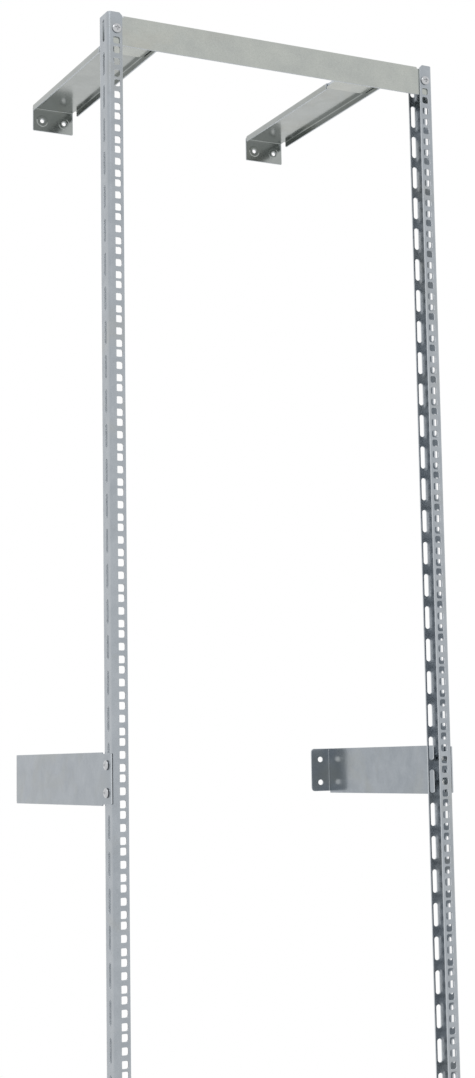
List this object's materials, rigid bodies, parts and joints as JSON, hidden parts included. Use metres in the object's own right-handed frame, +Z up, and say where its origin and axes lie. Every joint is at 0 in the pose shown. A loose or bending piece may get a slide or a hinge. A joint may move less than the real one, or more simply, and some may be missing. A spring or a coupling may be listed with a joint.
{
  "type": "adjustable depth rack frame",
  "caption": "Open rack frame of two slotted mounting rails with square holes, joined by folded end bars, with sliding rear arms and side brackets for setting the depth.",
  "frame": {"origin": "under the middle of the frame's bounding box, on the floor plane at the rails' feet", "axes": "+X to the frame's right as seen from the front, +Y from the front faces of the rails to the rear tabs, +Z up"},
  "size_m": [0.5012, 0.4008, 1.9558],
  "materials": {
    "rail": "bright zinc plated, slightly mottled",
    "bar": "bright zinc plated, slightly mottled",
    "arm": "bright zinc plated, slightly mottled",
    "bracket": "bright zinc plated, slightly mottled",
    "screw": "bright zinc plated, slightly mottled",
    "nut": "bright zinc plated, slightly mottled"
  },
  "bodies": {
    "frame": {"rail_left": "rail", "rail_right": "rail", "bar_top": "bar", "bar_screw_top_left": "screw", "bar_nut_top_left": "nut", "bar_screw_top_right": "screw", "bar_nut_top_right": "nut", "bar_bottom": "bar", "bar_screw_bottom_left": "screw", "bar_nut_bottom_left": "nut", "bar_screw_bottom_right": "screw", "bar_nut_bottom_right": "nut"},
    "arm_top_left_slide": {"arm_top_left": "arm", "arm_stud_top_left_1": "nut", "arm_stud_top_left_2": "nut", "arm_nut_top_left_1": "nut", "arm_nut_top_left_2": "nut"},
    "arm_top_right_slide": {"arm_top_right": "arm", "arm_stud_top_right_1": "nut", "arm_stud_top_right_2": "nut", "arm_nut_top_right_1": "nut", "arm_nut_top_right_2": "nut"},
    "arm_bottom_left_slide": {"arm_bottom_left": "arm", "arm_stud_bottom_left_1": "nut", "arm_stud_bottom_left_2": "nut", "arm_nut_bottom_left_1": "nut", "arm_nut_bottom_left_2": "nut"},
    "arm_bottom_right_slide": {"arm_bottom_right": "arm", "arm_stud_bottom_right_1": "nut", "arm_stud_bottom_right_2": "nut", "arm_nut_bottom_right_1": "nut", "arm_nut_bottom_right_2": "nut"},
    "bracket_left_slide": {"bracket_left": "bracket", "bracket_screw_left_upper": "screw", "bracket_screw_left_lower": "screw", "bracket_nut_left_upper": "nut", "bracket_nut_left_lower": "nut"},
    "bracket_right_slide": {"bracket_right": "bracket", "bracket_screw_right_upper": "screw", "bracket_screw_right_lower": "screw", "bracket_nut_right_upper": "nut", "bracket_nut_right_lower": "nut"}
  },
  "joints": [
    {"name": "depth_top_left", "type": "slide", "parent": "frame", "child": "arm_top_left_slide", "axis": [0, 1, 0], "range_m": [-0.043, 0]},
    {"name": "depth_top_right", "type": "slide", "parent": "frame", "child": "arm_top_right_slide", "axis": [0, 1, 0], "range_m": [-0.043, 0]},
    {"name": "depth_bottom_left", "type": "slide", "parent": "frame", "child": "arm_bottom_left_slide", "axis": [0, 1, 0], "range_m": [-0.043, 0]},
    {"name": "depth_bottom_right", "type": "slide", "parent": "frame", "child": "arm_bottom_right_slide", "axis": [0, 1, 0], "range_m": [-0.043, 0]},
    {"name": "height_left", "type": "slide", "parent": "frame", "child": "bracket_left_slide", "axis": [0, 0, 1], "range_m": [0, 0.01395]},
    {"name": "height_right", "type": "slide", "parent": "frame", "child": "bracket_right_slide", "axis": [0, 0, 1], "range_m": [0, 0.01395]}
  ]
}
